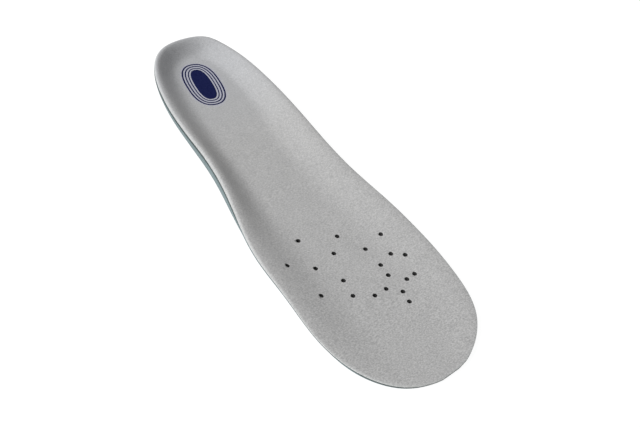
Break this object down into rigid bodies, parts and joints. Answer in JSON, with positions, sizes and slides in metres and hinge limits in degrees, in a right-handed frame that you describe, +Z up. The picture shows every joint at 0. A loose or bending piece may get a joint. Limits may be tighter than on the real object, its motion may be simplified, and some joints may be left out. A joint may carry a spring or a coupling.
{
  "type": "cushioned insole",
  "caption": "Right-foot shoe insole with a knitted top cloth, vented forefoot, moulded foam body, raised heel cup and heel cushion.",
  "frame": {"origin": "centre of the bounding box's bottom face, on the flat underside", "axes": "+Y from the heel to the toe, +X towards the outer side of a right foot, +Z up from the underside"},
  "size_m": [0.094, 0.27, 0.0164],
  "materials": {
    "top_cloth": "brushed fine knit, heathered grey",
    "bond_film": "dull dark film",
    "foam": "fine-celled moulded foam with a matte skin",
    "cushion": "soft matte",
    "ink": "flat screen-printed ink"
  },
  "bodies": {
    "root": {"top_cloth": "top_cloth", "cloth_bond_film": "bond_film", "foam_base": "foam", "heel_cushion": "cushion", "heel_print_oval": "ink", "heel_print_ring_inner": "ink", "heel_print_ring_middle": "ink", "heel_print_ring_outer": "ink"}
  },
  "joints": []
}
